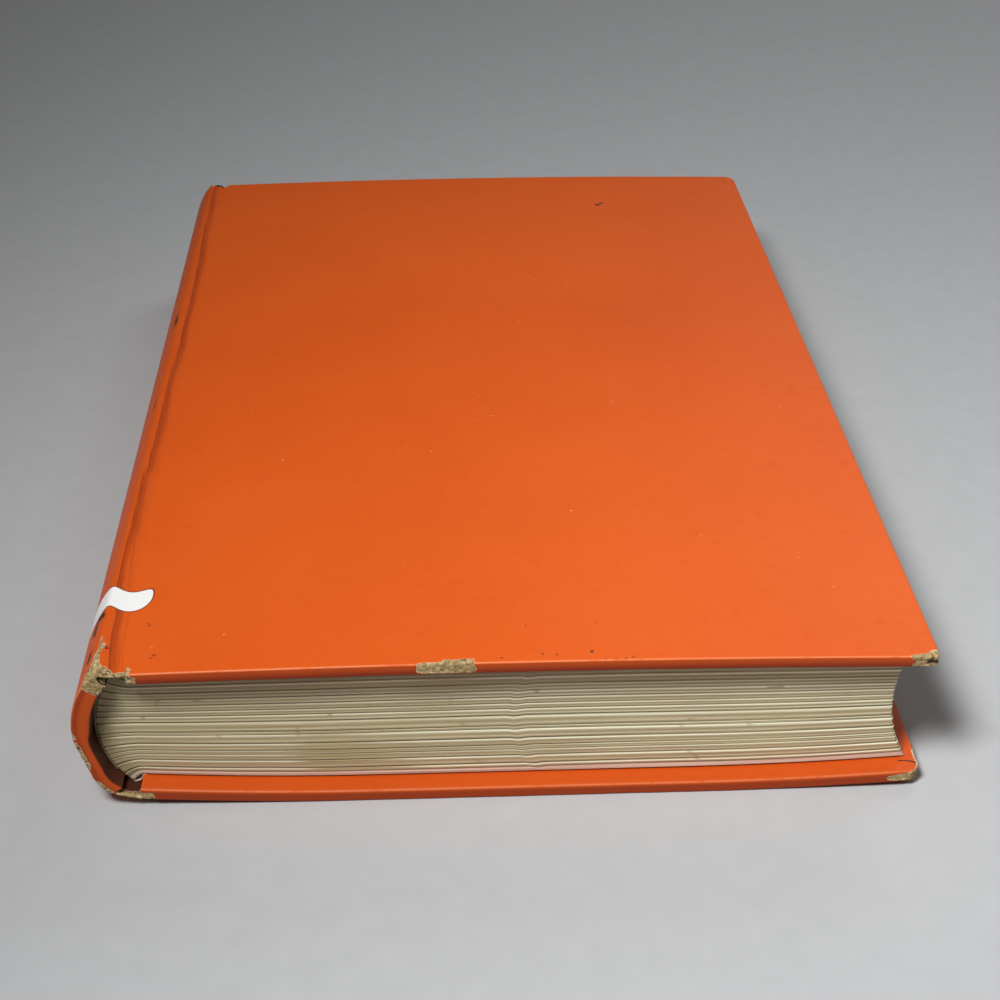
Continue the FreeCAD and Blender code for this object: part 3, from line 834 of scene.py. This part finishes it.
def spine_skin():
    """The covering of the case spine and of the front joint, as one sheet."""
    back = spine_line()
    joint = front_joint_line(18)
    line = chained(back, joint)
    walked = along(line)
    ridge_at = along(back)[-1]
    places = stations((0, ridge_at - 6, 56), (ridge_at - 6, walked[-1], 60))
    line = resampled(line, places)
    soft = line.copy()
    for _ in range(45):
        soft[1:-1] = (soft[:-2] + 2 * soft[1:-1] + soft[2:]) / 4
    line = line + (soft - line) * np.exp(-(((places - ridge_at) / 2.6) ** 2))[:, None]
    centre = round_centre()[0]
    radial = (centre - line) / (centre[0] - UPPER_CREASE[0])
    in_joint = eased(places, ridge_at - 1.2, ridge_at + 1.4)[:, None]
    inward = radial * (1 - in_joint) + np.array([0.0, -1.0]) * in_joint
    upper = eased(line[:, 1], 14.0, 20.0)
    case = CASE_THIN + (CASE_THICK - CASE_THIN) * upper
    thickness = case * (1 - in_joint[:, 0]) + 0.6 * in_joint[:, 0]
    from_board = places - walked[-1]

    def values(x, y, z, depth):
        """Wear, creases and marks on the spine and joint."""
        sheet = np.broadcast_to(from_board[:, None], x.shape)
        cap = cap_wear(sheet, y, depth)
        wear = np.maximum(cap, spine_corner_like(sheet, y, depth, ridge_at, walked[-1]))
        crease = joint_creases(sheet, y)
        relief = 0.08 + 0.22 * rough(sheet, y, depth, 0.8, 111)
        sink = wear * np.maximum(relief, -0.25 * eased(z, 24.0, 27.0)) + 0.05 * crease
        # Painted shade on the folded end of the spine's covering.
        fold = 0.7 * eased(depth, 0.02, 0.4) * (1 - 0.6 * eased(depth, 1.2, 1.6))
        notch = np.exp(-(((sheet + 1.7) / 0.85) ** 2)) * eased(y, BOARD_HEIGHT - 9.0, BOARD_HEIGHT - 0.5)
        # Real dark marks along the ridge, and painted shade, near black, over the inner face of the case's end; a
        # painted highlight along the end's rim.
        return {
            "sink": sink, "wear": wear, "fold": fold, "crease": crease, "drawn": 1.7 * notch,
            "stain": np.maximum(spine_stains(sheet, y), 0.92 * eased(depth - thickness[:, None], -0.3, -0.05)),
            "sheet_x": sheet, "front": np.ones_like(x), "rub": eased(depth, 0.0, 0.06) * (1 - eased(depth, 0.1, 0.3)),
        }

    mesh = folded_band("spine_and_front_joint_covering", line, inward, thickness, 14.0, values, True)
    piece = place(mesh, material("orange_covering"))
    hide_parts("spine_paper", "front_joint_paper")
    card = places < ridge_at - 0.8
    near, far = line + inward * 0.3, line + inward * (case[:, None] - 0.3)
    slab("spine_card_strip", near[card], far[card], (0.6, BOARD_HEIGHT - 0.6), "grey_board", True)
    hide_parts("spine_card")
    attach(bpy.data.objects["spine_card_strip"], "pages")
    return blended(piece, (-5.5, RIDGE[1]), (-0.7, RIDGE[1] + 1.2))


def cap_wear(sheet, y, depth):
    """The torn cap at the tail of the spine: a ragged patch across the ridge and the joint whose upper limit
    is a broken line, and a narrow tear that runs up from it and forks."""
    ragged = rough(sheet, y, depth, 2.2, 101) * 0.8 + noise(sheet, y, depth, 0.6, 104) * 0.4
    limit = np.interp(sheet, [-10.6, -9.6, -7.4, -6.2, -4.4, -2.6, 0.0], [-2.0, 1.2, 4.4, 5.6, 3.2, 1.8, 1.5])
    cap = 1 - eased(y + ragged - limit, -0.35, 0.35)
    shaken = sheet + 0.45 * noise(sheet, y, depth, 1.6, 108)
    tear = np.abs(shaken + 5.9 - 0.05 * (y - 6.0)) - 0.75 * (1 - eased(y, 5.0, 12.5))
    fork = np.abs(y - 8.4 - 0.5 * (shaken + 5.4)) - 0.55 + 2.0 * (1 - eased(shaken, -6.2, -5.6))
    fork = fork + 2.0 * eased(shaken, -4.6, -4.2)
    cap = np.maximum(cap, (1 - eased(tear, -0.1, 0.25)) * (1 - eased(y, 12.0, 12.8)))
    cap = np.maximum(cap, 1 - eased(fork, -0.15, 0.2))
    head = rough(sheet, y, depth, 1.5, 115) * 0.5 + np.abs(sheet + 5.5) * 0.35
    return np.maximum(cap, 1 - eased(BOARD_HEIGHT - y + head, 1.0, 1.6))


def spine_corner_like(sheet, y, depth, ridge_at, total):
    """The rubbed spots on the tail of the spine, at its two creases and its foot."""
    ragged = rough(sheet, y, depth, 2.0, 121) * 0.8
    upper = np.hypot((sheet + total - ridge_at * 0.30) / 1.6, (y - 0.2) / 1.1) + ragged
    foot = np.hypot((sheet + total - 2.2) / 2.2, (y - 0.2) / 1.2) + ragged
    crease = np.hypot((sheet + total - ridge_at * 0.36) / 3.0, (y - 0.4) / 1.6) + ragged
    worn = np.maximum(1 - eased(foot, 0.8, 1.5), 1 - eased(crease, 0.8, 1.5))
    worn = np.maximum(worn, 0.7 * (1 - eased(upper, 0.6, 1.3)))
    return worn * (1 - eased(depth + 0.3 * ragged, 0.6, 1.2))


def joint_creases(sheet, y):
    """Dark cracks along the joint: a long one beside the ridge, painted shade in the soft hollow that it borders on,
    and fine broken streaks over that. Each is a narrow band about its line."""
    path = np.interp(
        y, [0, 14, 29, 48, 68, 71, 91, 105, 121, 168, 188, 235],
        [-3.0, -3.8, -4.9, -5.3, -5.4, -4.5, -4.6, -4.9, -4.2, -4.0, -4.7, -4.9],
    )
    path = path + 0.25 * noise(y, 0.0, 0.0, 10.0, 131) + 0.12 * noise(y, 0.0, 0.0, 2.6, 132)
    total = 0.85 * eased(noise(y, 0.0, 0.0, 15.0, 133), -1.0, -0.2) * (1 - eased(np.abs(sheet - path), 0.05, 0.22))
    # Painted shade over the soft hollow beside the long crack.
    wide = 1.15 + 0.35 * noise(y, 0.0, 0.0, 18.0, 134)
    hollow = eased(sheet - path, -0.12, 0.1) * (1 - eased(sheet - path, wide * 0.55, wide * 1.5))
    total = np.maximum(total, 0.5 * hollow * (0.8 + 0.2 * noise(y, 0.0, 0.0, 12.0, 135)))
    streaks = ((0.55, 0.7, 240.0), (1.05, 0.55, 150.0), (1.7, 0.4, 120.0), (2.3, 0.3, 60.0), (-0.6, 0.15, 120.0))
    for seed, (beside, strength, until) in enumerate(streaks):
        middle = path + beside + 0.12 * noise(y, 0.0, 0.0, 7.0, 141 + seed)
        broken = eased(noise(y, 0.0, 0.0, 9.0, 151 + seed), -0.3, 0.3) * (1 - eased(y, until * 0.6, until))
        total = np.maximum(total, strength * broken * (1 - eased(np.abs(sheet - middle), 0.04, 0.16)))
    return total


def spine_stains(sheet, y):
    """Dark marks along the ridge of the spine: small ragged ovals."""
    total = 0.0
    spots = ((-6.8, 177.3, 0.75, 1.0), (-7.2, 146.0, 0.8, 1.0), (-7.5, 103.4, 0.8, 1.2), (-7.9, 19.5, 1.4, 1.3),
             (-9.2, 17.0, 0.8, 2.5), (-8.9, 7.9, 0.95, 2.1), (-4.3, 8.3, 0.4, 0.5), (-3.6, 234.5, 1.3, 0.8))
    for spot_x, spot_y, wide, long in spots:
        away = np.hypot((sheet - spot_x) / wide, (y - spot_y) / long) + 0.35 * noise(sheet, y, 0.0, 0.8, 171)
        total = np.maximum(total, 1 - eased(away, 0.6, 1.1))
    return total


def back_joint_skin():
    """The covering of the back joint."""
    line = back_joint_line(24)
    places = along(line)
    inward = np.stack([0 * places, 0 * places + 1.0], axis=1)
    start = round_centre()[0]
    radial = (start - line[0]) / (start[0] - UPPER_CREASE[0])
    share = eased(places, 0.0, 1.2)[:, None]
    inward = radial * (1 - share) + inward * share
    thickness = CASE_THICKNESS * (1 - share[:, 0]) + 0.5 * share[:, 0]

    def values(x, y, z, depth):
        """Wear at the tail, as on the spine's foot."""
        sheet = np.broadcast_to(places[:, None] - places[-1], x.shape)
        ragged = rough(sheet, y, depth, 2.0, 181) * 0.8
        wear = 1 - eased(np.hypot(sheet * 0.5, y * 1.2) + ragged, 2.0, 3.2)
        sink = wear * (0.1 + 0.12 * rough(sheet, y, depth, 0.8, 184))
        # The folded tail end gets painted shade, and past the shoulder the joint's inside is painted near black as
        # shade.
        return {
            "sink": sink, "wear": wear, "fold": eased(depth, 0.02, 0.4), "crease": joint_creases(sheet, y) * 0.6,
            "sheet_x": sheet, "front": np.zeros_like(x), "rub": np.zeros_like(x),
            "stain": 0.85 * eased(depth, 0.25, 0.45) * eased(y, 0.5, 1.5) + 0 * x,
        }

    mesh = folded_band("back_joint_covering", line, inward, thickness, 14.0, values, False)
    piece = place(mesh, material("orange_covering"))
    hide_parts("back_joint_paper")
    return blended(piece, (-5.5, FOOT[1]), (-0.7, FOOT[1] - 2.4))


def blended(piece, start, end):
    """Bakes the sheet's transform into its mesh. The two points in XZ, start and end, are not used."""
    start, end = (Vector(((x + ORIGIN[0]) * MM, 0.0, z * MM)) for x, z in (start, end))
    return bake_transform(piece)


def slab(name, near, far, ends, slot, flip):
    """A closed sheet between two lines in XZ, carried straight along y: the ring of both lines swept from one
    end to the other, and a ruled face across each end."""
    ring = np.concatenate([near, far[::-1], near[:1]])
    y = np.linspace(*ends, 41)
    points = np.stack([ring[:, :1] + 0 * y, y[None, :] + 0 * ring[:, :1], ring[:, 1:] + 0 * y], axis=-1)
    half = len(near)
    sheet = Patches().grid(points, flip=flip)
    sheet.grid(np.stack([points[:half, 0], points[half : 2 * half, 0][::-1]]), flip=flip)
    sheet.grid(np.stack([points[:half, -1], points[half : 2 * half, -1][::-1]]), flip=not flip)
    return place(sheet.mesh(name), material(slot))


def hinge_strip(name, node, height, side):
    """The endpaper's fold over one shoulder: a thin sheet from the edge of the pastedown, over the board's
    spine edge and down on to the flyleaf, offset by half its thickness to each side of a smoothed line."""
    edge = height(0.0)
    inside = edge - side * (COVER_THICKNESS + 0.15)
    tip = edge - side * (COVER_THICKNESS + LEAF_GAP - SHOULDER_HEIGHT - 0.15)
    knots = np.array([
        (0.5, inside + side * 0.12), (-0.1, inside + side * 0.25), (-0.28, inside + side * 0.9),
        (-0.55, edge - side * 1.15), (-1.3, edge - side * 0.95), (-2.1, tip + side * 0.2), (-3.1, tip + side * 0.35),
    ])
    line = resampled(knots, np.linspace(0, along(knots)[-1], 30))
    for _ in range(3):
        line[1:-1] = (line[:-2] + 2 * line[1:-1] + line[2:]) / 4
    tangent = np.gradient(line, axis=0)
    normal = np.stack([-tangent[:, 1], tangent[:, 0]], axis=1) / np.linalg.norm(tangent, axis=1)[:, None]
    ends = (BLOCK_SQUARE + 0.1, BOARD_HEIGHT - BLOCK_SQUARE - 0.1)
    piece = slab(name, line + 0.11 * normal, line - 0.11 * normal, ends, "hinge_cloth", side < 0)
    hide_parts(node)
    return blended(piece, (-3.0, edge), (-0.5, edge))


def pastedown(name, node, cover, height, side):
    """The endpaper pasted inside one cover, drawn in from its edges so that the turned-in covering shows."""
    x = np.linspace(1.2, BOARD_WIDTH - PASTEDOWN_MARGIN, 120)
    outer = height(x) - side * COVER_THICKNESS
    near = np.stack([x, outer - side * 0.005], axis=1)
    far = np.stack([x, outer - side * 0.15], axis=1)
    piece = slab(name, near, far, (PASTEDOWN_MARGIN, BOARD_HEIGHT - PASTEDOWN_MARGIN), "endpaper", side > 0)
    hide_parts(node)
    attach(piece, cover)
    return piece


# Pages

SECTIONS = 16


def section_shares():
    """The shares of the block's thickness at which its sections meet, a little uneven."""
    uneven = np.random.default_rng(7).uniform(-0.36, 0.36, SECTIONS - 1)
    return np.concatenate([[0.0], (np.arange(1, SECTIONS) + uneven) / SECTIONS, [1.0]])


def page_levels():
    """Rows up the block: in each section, close together at its two folds. Returns each row's share of the
    thickness and its section number with the share of that section."""
    within = np.array([0.0, 0.035, 0.08, 0.16, 0.23, 0.30, 0.38, 0.5, 0.6, 0.7, 0.77, 0.84, 0.92])
    shares = section_shares()
    low, high = shares[:-1, None], shares[1:, None]
    share = (low + (high - low) * within).ravel()
    section = (np.arange(SECTIONS)[:, None] + within).ravel()
    return np.append(share, 1.0), np.append(section, float(SECTIONS))


def page_block():
    """The pages: a wall that runs along the tail, round the fore-edge and back along the head, closed by
    ruled faces. On the wall a point lies at a share of the way up between the two bowed faces, and x runs
    from the round of the spine to the hollow fore-edge. Each section stands a little in or out of its
    neighbours, its outer leaf stands proud, and the fold between two sections is a narrow valley."""
    share, section = page_levels()
    centre, radius, low, high = round_centre()
    t = share[:, None]
    spine_z = low + (high - low) * t
    spine_x = centre[0] - np.sqrt(radius**2 - (spine_z - centre[1]) ** 2)
    fore_x = LIP_BOTTOM + (LIP_TOP - LIP_BOTTOM) * t - FORE_HOLLOW * 4 * t * (1 - t)
    run = stations((0.0, 0.012, 5), (0.012, 0.1, 26), (0.1, 0.9, 150), (0.9, 1.0, 30))[None, :]
    flat_x = spine_x + (fore_x - PAGE_CORNER - spine_x) * run
    corner = np.linspace(0, np.pi / 2, 7)[None, 1:-1]
    fore_y = stations((BLOCK_SQUARE + PAGE_CORNER, BOARD_HEIGHT - BLOCK_SQUARE - PAGE_CORNER, 130))[None, :]
    tail, head = BLOCK_SQUARE, BOARD_HEIGHT - BLOCK_SQUARE
    around = 1 - np.cos(corner)
    ones = np.ones_like(t)
    x = np.concatenate([
        flat_x, fore_x - PAGE_CORNER * (1 - np.sin(corner)), fore_x * np.ones_like(fore_y),
        fore_x - PAGE_CORNER * (1 - np.sin(corner[:, ::-1])), flat_x[:, ::-1],
    ], axis=1)
    y = np.concatenate([
        ones * tail * np.ones_like(run), ones * (tail + PAGE_CORNER * around), ones * fore_y,
        ones * (head - PAGE_CORNER * around[:, ::-1]), ones * head * np.ones_like(run),
    ], axis=1)
    out_x = np.concatenate([0 * flat_x, ones * np.sin(corner), ones * np.ones_like(fore_y),
                            ones * np.sin(corner[:, ::-1]), 0 * flat_x], axis=1)
    out_y = np.concatenate([-ones * np.ones_like(run), -ones * np.cos(corner), ones * 0 * fore_y,
                            ones * np.cos(corner[:, ::-1]), ones * np.ones_like(run)], axis=1)
    distance = np.concatenate([x[:, :1] * 0, np.hypot(np.diff(x, axis=1), np.diff(y, axis=1))], axis=1).cumsum(axis=1)

    def level(px, at_share):
        """Height of the surface that lies at a share of the way up the block."""
        bottom = back_height(np.clip(px, 0, None)) + COVER_THICKNESS + LEAF_GAP
        top = front_height(np.clip(px, 0, None)) - COVER_THICKNESS - LEAF_GAP
        flat = bottom + (top - bottom) * at_share
        back = np.clip(px / spine_x, 0.0, 1.0) ** 1.74
        return flat + (spine_z - flat) * back

    within = section[:, None] % 1.0
    number = np.floor(section)[:, None]
    wavy = noise(distance, number, 0.0, 34.0, 201) + 0.4 * noise(distance, number, 0.0, 9.0, 202)
    to_fold = np.minimum(within, 1 - within)
    valley = np.exp(-((to_fold / 0.045) ** 2)) * (0.6 + 0.4 * noise(distance, number, 0.0, 25.0, 203))
    strengths = np.random.default_rng(23).uniform(0.35, 1.0, SECTIONS + 1) ** 1.2
    lip_strength = strengths[number.astype(int).clip(0, SECTIONS)]
    broken = eased(noise(distance, number, 0.0, 21.0, 204), -0.75, -0.1)
    lip = np.exp(-(((within - 0.84) / 0.12) ** 2)) * lip_strength * broken
    second = np.exp(-(((within - 0.30) / 0.07) ** 2)) * strengths[::-1][number.astype(int).clip(0, SECTIONS)] * 0.6
    leaves = 0.03 * noise(distance * 0.08, section[:, None] * 6.0, 0.0, 1.0, 205)
    proud = 0.07 * wavy + 0.13 * lip + 0.06 * second - 0.26 * valley + leaves
    inside = eased(share[:, None], 0.0, 0.01) * (1 - eased(share[:, None], 0.99, 1.0))
    proud = proud * inside - 0.03
    nick = eased(noise(distance, section[:, None] * 1.5, 0.0, 2.2, 206), 0.86, 0.97)
    px = x + out_x * proud
    py = y + out_y * proud
    jog = 0.22 * eased(distance, 77.0, 77.8) * (1 - eased(distance, 78.6, 80.5)) * (distance < 150)
    sway = (0.10 * noise(distance, number + (within > 0.5), 0.0, 26.0, 207) - jog) * inside
    pz = level(px, t) + sway
    # Painted highlight on each section's proud outer leaf and on a second line within it, broken by nicks and faded
    # towards the spine end, where the spine's shadow falls.
    to_fore = 0.6 + 0.4 * eased(distance, 20.0, 90.0)
    from_spine = eased(distance, 0.8, 4.5)
    bright = np.clip(lip * 3.0 + second * 1.9, 0, 1) * (1 - nick) * to_fore * from_spine
    end_leaf = 1 - eased(share[:, None], 0.028, 0.033) + 0 * x
    # Painted shade in the valleys between sections, and a dark line just above the pink end leaf, between it and the
    # first section.
    beside_leaf = 0.8 * np.exp(-(((share[:, None] - 0.036) / 0.004) ** 2))
    gap = np.maximum(np.clip(valley * 1.1, 0, 1) * inside, beside_leaf)
    # Painted shadow of the spine's overhang over the first few millimetres from the spine.
    gap = np.maximum(gap, 0.15 * (1 - eased(distance, 0.6, 4.2)))
    # Painted shadow of the front cover's overhang across the top of the block.
    gap = np.maximum(gap, 0.34 * eased(share[:, None], 0.83, 0.92))
    wall = dict(section=section[:, None] + 0 * x, run=distance, bright=bright * (1 - end_leaf), gap=gap, pink=end_leaf)
    points = np.stack([px, py, pz], axis=-1)
    pages = Patches()
    pages.grid(points, flip=True, **wall)
    flat = flat_x.shape[1]
    for row, flip in ((0, True), (-1, False)):
        tail_line, head_line = points[row, :flat], points[row, ::-1][:flat]
        pages.grid(np.stack([tail_line, head_line]), flip=not flip, section=section[row], run=0.0, bright=0.0, gap=0.0, pink=0.0)
    pages.grid(np.stack([points[:, 0], points[:, -1]]), flip=False, section=section[None, :], run=0.0, bright=0.0, gap=0.0, pink=0.0)
    mesh = pages.mesh("page_block_leaves")
    close_holes(mesh)
    piece = place(mesh, material("page_paper"))
    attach(piece, "pages")
    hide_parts("page_block")
    return piece


def close_holes(mesh):
    """Fills the narrow openings beside the fore-edge, top and bottom."""
    import bmesh

    work = bmesh.new()
    work.from_mesh(mesh)
    bmesh.ops.holes_fill(work, edges=[e for e in work.edges if e.is_boundary], sides=0)
    bmesh.ops.recalc_face_normals(work, faces=work.faces)
    work.to_mesh(mesh)
    work.free()


# Stage


def make_floor():
    """A wide plain floor under the book, pale, with a trace of unevenness."""
    side = np.linspace(-3.0, 3.0, 3) / MM
    x, y = np.meshgrid(side, side, indexing="ij")
    floor = Patches().grid(np.stack([x, y, 0 * x - 0.01], axis=-1)).mesh("floor")
    finish = Finish("pale_floor", 0.9)
    grain = finish.wire.position().noise(160.0, 4.0)
    finish.set("Base Color", grain.mix(colour(0.50, 0.51, 0.52), colour(0.56, 0.57, 0.58)))
    piece = bpy.data.objects.new("floor", floor)
    bpy.context.scene.collection.objects.link(piece)
    floor.materials.append(finish.material)
    return piece


def area_light(name, place_at, target, size, watts, spread=180.0):
    """A soft panel at a point, facing a target. A spread below 180 degrees lets its light fall off to the
    sides, as from a panel behind a grid."""
    lamp = bpy.data.lights.new(name, "AREA")
    lamp.shape = "RECTANGLE"
    lamp.size, lamp.size_y = size
    lamp.energy = watts
    lamp.spread = np.radians(spread)
    light = bpy.data.objects.new(name, lamp)
    light.location = place_at
    light.rotation_euler = (Vector(target) - Vector(place_at)).to_track_quat("-Z", "Y").to_euler()
    bpy.context.scene.collection.objects.link(light)
    return light


# Operators


class BookSettings(bpy.types.PropertyGroup):
    """The looks of the book that a user would change."""

    covering_colour: bpy.props.FloatVectorProperty(
        name="Covering", description="Colour of the printed covering", subtype="COLOR",
        default=(0.80, 0.121, 0.0115), min=0.0, max=1.0,
    )
    stripe_colour: bpy.props.FloatVectorProperty(
        name="Stripe", description="Colour of the plain stripe across the joint", subtype="COLOR",
        default=(1.0, 0.995, 0.98), min=0.0, max=1.0,
    )
    stripe_width: bpy.props.FloatProperty(
        name="Stripe width", description="Width of the plain stripe across the joint", default=0.0062,
        min=0.0, max=0.02, unit="LENGTH",
    )
    leaf_colour: bpy.props.FloatVectorProperty(
        name="Leaves", description="Colour of the leaf edges where they catch the light", subtype="COLOR",
        default=(1.0, 0.955, 0.69), min=0.0, max=1.0,
    )
    light_level: bpy.props.FloatProperty(
        name="Light level", description="Strength of the even light from all round", default=0.06, min=0.0
    )
    key_watts: bpy.props.FloatProperty(
        name="Key light", description="Power of the soft light over the tail, on the spine's side", default=1.62, unit="POWER"
    )
    sheen_watts: bpy.props.FloatProperty(
        name="Sheen light", description="Power of the wide panel behind the head, which the varnish reflects", default=3.2, unit="POWER"
    )
    lens: bpy.props.FloatProperty(
        name="Lens", description="Focal length of the camera in millimetres", default=61.88
    )


class BOOK_OT_covers(bpy.types.Operator):
    """Makes the covering of both boards"""

    bl_idname = "book.covers"
    bl_label = "Make the covers"

    def execute(self, context):
        front = cover_skin("front_board_covering", front_height, 1, front_wear, 1.2)
        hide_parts("front_cover_paper")
        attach(front, "front_cover")
        back = cover_skin("back_board_covering", back_height, -1, back_wear, 2.4)
        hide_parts("back_cover_paper")
        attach(back, "back_cover")
        return {"FINISHED"}


class BOOK_OT_spine(bpy.types.Operator):
    """Makes the covering of the spine and of both joints, and the hinges inside them"""

    bl_idname = "book.spine"
    bl_label = "Make the spine and joints"

    def execute(self, context):
        spine_skin()
        back_joint_skin()
        hinge_strip("front_hinge_strip", "front_hinge_lining", front_height, 1)
        hinge_strip("back_hinge_strip", "back_hinge_lining", back_height, -1)
        pastedown("front_paste_paper", "front_pastedown", "front_cover", front_height, 1)
        pastedown("back_paste_paper", "back_pastedown", "back_cover", back_height, -1)
        return {"FINISHED"}


class BOOK_OT_pages(bpy.types.Operator):
    """Makes the page block"""

    bl_idname = "book.pages"
    bl_label = "Make the pages"

    def execute(self, context):
        page_block()
        return {"FINISHED"}


class BOOK_OT_papers(bpy.types.Operator):
    """Gives the papers, boards and gauze of the CAD model their finishes"""

    bl_idname = "book.papers"
    bl_label = "Finish the papers and boards"

    def execute(self, context):
        slots = {
            "endpaper": ("front_flyleaf", "back_flyleaf"),
            "gauze": ("spine_gauze",),
            "lining_paper": ("spine_lining",),
            "grey_board": ("front_board", "back_board"),
        }
        for slot, nodes in slots.items():
            for node in nodes:
                for holder in bpy.data.objects[node].material_slots:
                    holder.material = material(slot)
        return {"FINISHED"}


class BOOK_OT_stage(bpy.types.Operator):
    """Makes the floor, the lights and the camera"""

    bl_idname = "book.stage"
    bl_label = "Make the stage"

    def execute(self, context):
        settings = context.scene.book_settings
        make_floor()
        scene = context.scene
        scene.view_settings.view_transform = "Standard"
        world = bpy.data.worlds.new("soft_room")
        world.use_nodes = True
        background = world.node_tree.nodes["Background"]
        background.inputs["Color"].default_value = colour(1.0, 1.0, 1.0)
        background.inputs["Strength"].default_value = settings.light_level
        scene.world = world
        key_at, key_target = (-0.151, -0.333, 0.505), (0.317, 0.003, 0.0)
        area_light("key_light", key_at, key_target, (0.15, 0.15), settings.key_watts, 106.5)
        area_light("sheen_light", (0.62, 0.95, 0.95), (0.0, 0.0, 0.02), (0.6, 0.5), settings.sheen_watts)
        camera = bpy.data.cameras.new("camera")
        camera.lens = settings.lens
        camera.sensor_width = 36.0
        camera.shift_x, camera.shift_y = 0.0395, 0.0085
        camera.clip_start, camera.clip_end = 0.01, 50.0
        holder = bpy.data.objects.new("camera", camera)
        yaw, pitch, roll = 0.0239, 0.5668, -0.0103
        forward = Vector((np.sin(yaw) * np.cos(pitch), np.cos(yaw) * np.cos(pitch), -np.sin(pitch)))
        level = Vector((np.cos(yaw), -np.sin(yaw), 0.0))
        up = level.cross(forward)
        right = np.cos(roll) * level + np.sin(roll) * up
        up = -np.sin(roll) * level + np.cos(roll) * up
        turn = Matrix((right, up, -forward)).transposed().to_4x4()
        turn.translation = (-0.01356, -0.36548, 0.22369)
        holder.matrix_world = turn
        scene.collection.objects.link(holder)
        scene.camera = holder
        return {"FINISHED"}


class BOOK_PT_panel(bpy.types.Panel):
    """Lists the steps that dress the book"""

    bl_idname = "BOOK_PT_panel"
    bl_label = "Hardback Book"
    bl_space_type = "VIEW_3D"
    bl_region_type = "UI"
    bl_category = "Book"

    def draw(self, context):
        settings = context.scene.book_settings
        for name in BookSettings.__annotations__:
            self.layout.prop(settings, name)
        for step in STEPS:
            self.layout.operator(step.bl_idname)


STEPS = (BOOK_OT_covers, BOOK_OT_spine, BOOK_OT_pages, BOOK_OT_papers, BOOK_OT_stage)
CLASSES = (BookSettings, *STEPS, BOOK_PT_panel)


def register():
    """Registers the classes and the settings."""
    for item in CLASSES:
        bpy.utils.register_class(item)
    bpy.types.Scene.book_settings = bpy.props.PointerProperty(type=BookSettings)


def unregister():
    """Takes the settings and the classes out again."""
    del bpy.types.Scene.book_settings
    for item in reversed(CLASSES):
        bpy.utils.unregister_class(item)


def main():
    """Dresses the book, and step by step."""
    register()
    bpy.ops.book.covers()
    bpy.ops.book.spine()
    bpy.ops.book.pages()
    bpy.ops.book.papers()
    bpy.ops.book.stage()


if __name__ == "__main__":
    main()
